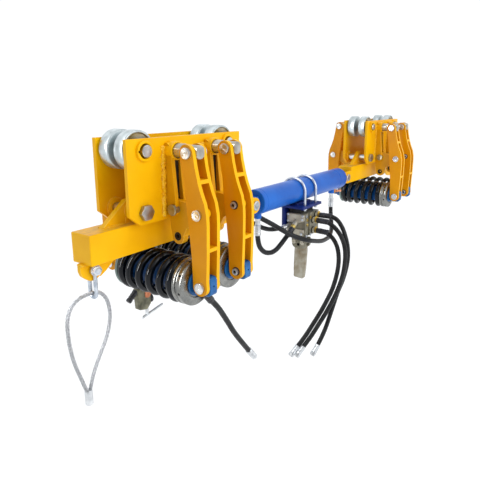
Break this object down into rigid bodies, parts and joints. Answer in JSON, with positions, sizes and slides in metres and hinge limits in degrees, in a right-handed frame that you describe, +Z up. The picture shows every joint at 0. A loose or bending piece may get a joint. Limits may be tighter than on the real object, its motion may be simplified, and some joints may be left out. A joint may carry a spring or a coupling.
{
  "type": "hydraulic monorail brake car",
  "caption": "Overhead monorail car: two wheeled trolleys with spring-applied brake arms, joined by a drive cylinder with valve, hoses and a tow shackle.",
  "frame": {"origin": "on the rail's centre line, at the running face of its bottom flange, midway between the two trolleys", "axes": "+X along the rail towards the right-hand trolley, +Y across the rail to the far side, +Z up"},
  "size_m": [2.419, 0.4826, 1.0494],
  "materials": {
    "yellow_paint": "gloss",
    "blue_paint": "gloss",
    "navy_paint": "gloss",
    "black_paint": "gloss",
    "zinc_steel": "satin",
    "machined_steel": "satin",
    "chrome": "polished",
    "olive_metal": "matte",
    "black_rubber": "matte"
  },
  "bodies": {
    "left_trolley": {"left_near_side_plate": "yellow_paint", "left_far_side_plate": "yellow_paint", "left_cross_pin_1": "zinc_steel", "left_cross_pin_2": "zinc_steel", "left_carrier_beam": "yellow_paint", "drive_cylinder_barrel": "blue_paint", "tube_clamp": "navy_paint", "valve_block": "olive_metal", "valve_lever": "olive_metal", "left_port_hose": "black_rubber", "right_port_hose": "black_rubber", "junction_hose": "black_rubber", "supply_hose_1": "black_rubber", "supply_hose_2": "black_rubber", "supply_hose_3": "black_rubber"},
    "left_near_wheel_1": {"left_near_wheel_1": "zinc_steel"},
    "left_near_wheel_2": {"left_near_wheel_2": "zinc_steel"},
    "left_far_wheel_1": {"left_far_wheel_1": "zinc_steel"},
    "left_far_wheel_2": {"left_far_wheel_2": "zinc_steel"},
    "left_near_brake_arm_1": {"left_near_brake_arm_1": "yellow_paint"},
    "left_near_thrust_pin_1": {"left_near_thrust_pin_1": "machined_steel"},
    "left_far_brake_arm_1": {"left_far_brake_arm_1": "yellow_paint"},
    "left_far_thrust_pin_1": {"left_far_thrust_pin_1": "machined_steel"},
    "left_release_rod_1": {"left_release_rod_1": "machined_steel", "left_brake_hose": "black_rubber"},
    "left_release_cylinder_1": {"left_release_cylinder_1": "blue_paint", "left_brake_spring_1": "black_paint"},
    "left_near_brake_arm_2": {"left_near_brake_arm_2": "yellow_paint"},
    "left_near_thrust_pin_2": {"left_near_thrust_pin_2": "machined_steel"},
    "left_far_brake_arm_2": {"left_far_brake_arm_2": "yellow_paint"},
    "left_far_thrust_pin_2": {"left_far_thrust_pin_2": "machined_steel"},
    "left_release_rod_2": {"left_release_rod_2": "machined_steel"},
    "left_release_cylinder_2": {"left_release_cylinder_2": "blue_paint", "left_brake_spring_2": "black_paint"},
    "right_trolley": {"right_near_side_plate": "yellow_paint", "right_far_side_plate": "yellow_paint", "right_cross_pin_1": "zinc_steel", "right_cross_pin_2": "zinc_steel", "right_carrier_beam": "yellow_paint", "drive_cylinder_rod": "chrome"},
    "right_near_wheel_1": {"right_near_wheel_1": "zinc_steel"},
    "right_near_wheel_2": {"right_near_wheel_2": "zinc_steel"},
    "right_far_wheel_1": {"right_far_wheel_1": "zinc_steel"},
    "right_far_wheel_2": {"right_far_wheel_2": "zinc_steel"},
    "right_near_brake_arm_1": {"right_near_brake_arm_1": "yellow_paint"},
    "right_near_thrust_pin_1": {"right_near_thrust_pin_1": "machined_steel"},
    "right_far_brake_arm_1": {"right_far_brake_arm_1": "yellow_paint"},
    "right_far_thrust_pin_1": {"right_far_thrust_pin_1": "machined_steel"},
    "right_release_rod_1": {"right_release_rod_1": "machined_steel"},
    "right_release_cylinder_1": {"right_release_cylinder_1": "blue_paint", "right_brake_spring_1": "black_paint"},
    "right_near_brake_arm_2": {"right_near_brake_arm_2": "yellow_paint"},
    "right_near_thrust_pin_2": {"right_near_thrust_pin_2": "machined_steel"},
    "right_far_brake_arm_2": {"right_far_brake_arm_2": "yellow_paint"},
    "right_far_thrust_pin_2": {"right_far_thrust_pin_2": "machined_steel"},
    "right_release_rod_2": {"right_release_rod_2": "machined_steel"},
    "right_release_cylinder_2": {"right_release_cylinder_2": "blue_paint", "right_brake_spring_2": "black_paint"},
    "tow_shackle": {"tow_shackle": "zinc_steel", "tow_rope_loop": "zinc_steel"}
  },
  "joints": [
    {"name": "left_near_wheel_1_spin", "type": "hinge", "parent": "left_trolley", "child": "left_near_wheel_1", "pos_m": [-1.0025, -0.031, 0.057], "axis": [0, 1, 0], "continuous": true},
    {"name": "left_near_wheel_2_spin", "type": "hinge", "parent": "left_trolley", "child": "left_near_wheel_2", "pos_m": [-0.6425, -0.031, 0.057], "axis": [0, 1, 0], "continuous": true},
    {"name": "left_far_wheel_1_spin", "type": "hinge", "parent": "left_trolley", "child": "left_far_wheel_1", "pos_m": [-1.0025, 0.031, 0.057], "axis": [0, 1, 0], "continuous": true},
    {"name": "left_far_wheel_2_spin", "type": "hinge", "parent": "left_trolley", "child": "left_far_wheel_2", "pos_m": [-0.6425, 0.031, 0.057], "axis": [0, 1, 0], "continuous": true},
    {"name": "left_brake_release", "type": "hinge", "parent": "left_trolley", "child": "left_near_brake_arm_1", "pos_m": [-0.9015, -0.195, -0.122], "axis": [1, 0, 0], "range_deg": [0, 2], "stiffness_Nm_per_rad": 400, "springref_deg": -11.46, "deforming": ["left_brake_spring_1", "left_brake_spring_2"]},
    {"name": "left_near_thrust_pin_1_slide", "type": "slide", "parent": "left_trolley", "child": "left_near_thrust_pin_1", "axis": [0, -1, 0], "range_m": [0, 0.0061]},
    {"name": "left_far_brake_arm_1_pivot", "type": "hinge", "parent": "left_trolley", "child": "left_far_brake_arm_1", "pos_m": [-0.9015, 0.195, -0.122], "axis": [1, 0, 0], "range_deg": [-2, 0]},
    {"name": "left_far_thrust_pin_1_slide", "type": "slide", "parent": "left_trolley", "child": "left_far_thrust_pin_1", "axis": [0, 1, 0], "range_m": [0, 0.0061]},
    {"name": "left_release_rod_1_eye", "type": "hinge", "parent": "left_near_brake_arm_1", "child": "left_release_rod_1", "pos_m": [-0.9015, -0.1995, -0.337], "axis": [1, 0, 0], "range_deg": [-2, 0]},
    {"name": "left_release_cylinder_1_eye", "type": "hinge", "parent": "left_far_brake_arm_1", "child": "left_release_cylinder_1", "pos_m": [-0.9015, 0.1995, -0.337], "axis": [1, 0, 0], "range_deg": [0, 2]},
    {"name": "left_near_brake_arm_2_pivot", "type": "hinge", "parent": "left_trolley", "child": "left_near_brake_arm_2", "pos_m": [-0.7335, -0.195, -0.122], "axis": [1, 0, 0], "range_deg": [0, 2]},
    {"name": "left_near_thrust_pin_2_slide", "type": "slide", "parent": "left_trolley", "child": "left_near_thrust_pin_2", "axis": [0, -1, 0], "range_m": [0, 0.0061]},
    {"name": "left_far_brake_arm_2_pivot", "type": "hinge", "parent": "left_trolley", "child": "left_far_brake_arm_2", "pos_m": [-0.7335, 0.195, -0.122], "axis": [1, 0, 0], "range_deg": [-2, 0]},
    {"name": "left_far_thrust_pin_2_slide", "type": "slide", "parent": "left_trolley", "child": "left_far_thrust_pin_2", "axis": [0, 1, 0], "range_m": [0, 0.0061]},
    {"name": "left_release_rod_2_eye", "type": "hinge", "parent": "left_near_brake_arm_2", "child": "left_release_rod_2", "pos_m": [-0.7335, -0.1995, -0.337], "axis": [1, 0, 0], "range_deg": [-2, 0]},
    {"name": "left_release_cylinder_2_eye", "type": "hinge", "parent": "left_far_brake_arm_2", "child": "left_release_cylinder_2", "pos_m": [-0.7335, 0.1995, -0.337], "axis": [1, 0, 0], "range_deg": [0, 2]},
    {"name": "right_near_wheel_1_spin", "type": "hinge", "parent": "right_trolley", "child": "right_near_wheel_1", "pos_m": [0.6425, -0.031, 0.057], "axis": [0, 1, 0], "continuous": true},
    {"name": "right_near_wheel_2_spin", "type": "hinge", "parent": "right_trolley", "child": "right_near_wheel_2", "pos_m": [1.0025, -0.031, 0.057], "axis": [0, 1, 0], "continuous": true},
    {"name": "right_far_wheel_1_spin", "type": "hinge", "parent": "right_trolley", "child": "right_far_wheel_1", "pos_m": [0.6425, 0.031, 0.057], "axis": [0, 1, 0], "continuous": true},
    {"name": "right_far_wheel_2_spin", "type": "hinge", "parent": "right_trolley", "child": "right_far_wheel_2", "pos_m": [1.0025, 0.031, 0.057], "axis": [0, 1, 0], "continuous": true},
    {"name": "right_brake_release", "type": "hinge", "parent": "right_trolley", "child": "right_near_brake_arm_1", "pos_m": [0.7435, -0.195, -0.122], "axis": [1, 0, 0], "range_deg": [0, 2], "stiffness_Nm_per_rad": 400, "springref_deg": -11.46, "deforming": ["right_brake_spring_1", "right_brake_spring_2"]},
    {"name": "right_near_thrust_pin_1_slide", "type": "slide", "parent": "right_trolley", "child": "right_near_thrust_pin_1", "axis": [0, -1, 0], "range_m": [0, 0.0061]},
    {"name": "right_far_brake_arm_1_pivot", "type": "hinge", "parent": "right_trolley", "child": "right_far_brake_arm_1", "pos_m": [0.7435, 0.195, -0.122], "axis": [1, 0, 0], "range_deg": [-2, 0]},
    {"name": "right_far_thrust_pin_1_slide", "type": "slide", "parent": "right_trolley", "child": "right_far_thrust_pin_1", "axis": [0, 1, 0], "range_m": [0, 0.0061]},
    {"name": "right_release_rod_1_eye", "type": "hinge", "parent": "right_near_brake_arm_1", "child": "right_release_rod_1", "pos_m": [0.7435, -0.1995, -0.337], "axis": [1, 0, 0], "range_deg": [-2, 0]},
    {"name": "right_release_cylinder_1_eye", "type": "hinge", "parent": "right_far_brake_arm_1", "child": "right_release_cylinder_1", "pos_m": [0.7435, 0.1995, -0.337], "axis": [1, 0, 0], "range_deg": [0, 2]},
    {"name": "right_near_brake_arm_2_pivot", "type": "hinge", "parent": "right_trolley", "child": "right_near_brake_arm_2", "pos_m": [0.9115, -0.195, -0.122], "axis": [1, 0, 0], "range_deg": [0, 2]},
    {"name": "right_near_thrust_pin_2_slide", "type": "slide", "parent": "right_trolley", "child": "right_near_thrust_pin_2", "axis": [0, -1, 0], "range_m": [0, 0.0061]},
    {"name": "right_far_brake_arm_2_pivot", "type": "hinge", "parent": "right_trolley", "child": "right_far_brake_arm_2", "pos_m": [0.9115, 0.195, -0.122], "axis": [1, 0, 0], "range_deg": [-2, 0]},
    {"name": "right_far_thrust_pin_2_slide", "type": "slide", "parent": "right_trolley", "child": "right_far_thrust_pin_2", "axis": [0, 1, 0], "range_m": [0, 0.0061]},
    {"name": "right_release_rod_2_eye", "type": "hinge", "parent": "right_near_brake_arm_2", "child": "right_release_rod_2", "pos_m": [0.9115, -0.1995, -0.337], "axis": [1, 0, 0], "range_deg": [-2, 0]},
    {"name": "right_release_cylinder_2_eye", "type": "hinge", "parent": "right_far_brake_arm_2", "child": "right_release_cylinder_2", "pos_m": [0.9115, 0.1995, -0.337], "axis": [1, 0, 0], "range_deg": [0, 2]},
    {"name": "drive_stroke", "type": "slide", "parent": "left_trolley", "child": "right_trolley", "axis": [1, 0, 0], "range_m": [0, 0.55]},
    {"name": "tow_shackle_swing", "type": "hinge", "parent": "left_trolley", "child": "tow_shackle", "pos_m": [-1.1425, 0, -0.256], "axis": [0, 1, 0], "range_deg": [-40, 15]}
  ],
  "couplings": [
    {"joint": "left_near_thrust_pin_1_slide", "follows": "left_brake_release", "m_per_rad": 0.172},
    {"joint": "left_far_brake_arm_1_pivot", "follows": "left_brake_release", "ratio": -1},
    {"joint": "left_far_thrust_pin_1_slide", "follows": "left_brake_release", "m_per_rad": 0.172},
    {"joint": "left_release_rod_1_eye", "follows": "left_brake_release", "ratio": -1},
    {"joint": "left_release_cylinder_1_eye", "follows": "left_brake_release", "ratio": 1},
    {"joint": "left_near_brake_arm_2_pivot", "follows": "left_brake_release", "ratio": 1},
    {"joint": "left_near_thrust_pin_2_slide", "follows": "left_brake_release", "m_per_rad": 0.172},
    {"joint": "left_far_brake_arm_2_pivot", "follows": "left_brake_release", "ratio": -1},
    {"joint": "left_far_thrust_pin_2_slide", "follows": "left_brake_release", "m_per_rad": 0.172},
    {"joint": "left_release_rod_2_eye", "follows": "left_brake_release", "ratio": -1},
    {"joint": "left_release_cylinder_2_eye", "follows": "left_brake_release", "ratio": 1},
    {"joint": "right_near_thrust_pin_1_slide", "follows": "right_brake_release", "m_per_rad": 0.172},
    {"joint": "right_far_brake_arm_1_pivot", "follows": "right_brake_release", "ratio": -1},
    {"joint": "right_far_thrust_pin_1_slide", "follows": "right_brake_release", "m_per_rad": 0.172},
    {"joint": "right_release_rod_1_eye", "follows": "right_brake_release", "ratio": -1},
    {"joint": "right_release_cylinder_1_eye", "follows": "right_brake_release", "ratio": 1},
    {"joint": "right_near_brake_arm_2_pivot", "follows": "right_brake_release", "ratio": 1},
    {"joint": "right_near_thrust_pin_2_slide", "follows": "right_brake_release", "m_per_rad": 0.172},
    {"joint": "right_far_brake_arm_2_pivot", "follows": "right_brake_release", "ratio": -1},
    {"joint": "right_far_thrust_pin_2_slide", "follows": "right_brake_release", "m_per_rad": 0.172},
    {"joint": "right_release_rod_2_eye", "follows": "right_brake_release", "ratio": -1},
    {"joint": "right_release_cylinder_2_eye", "follows": "right_brake_release", "ratio": 1}
  ]
}
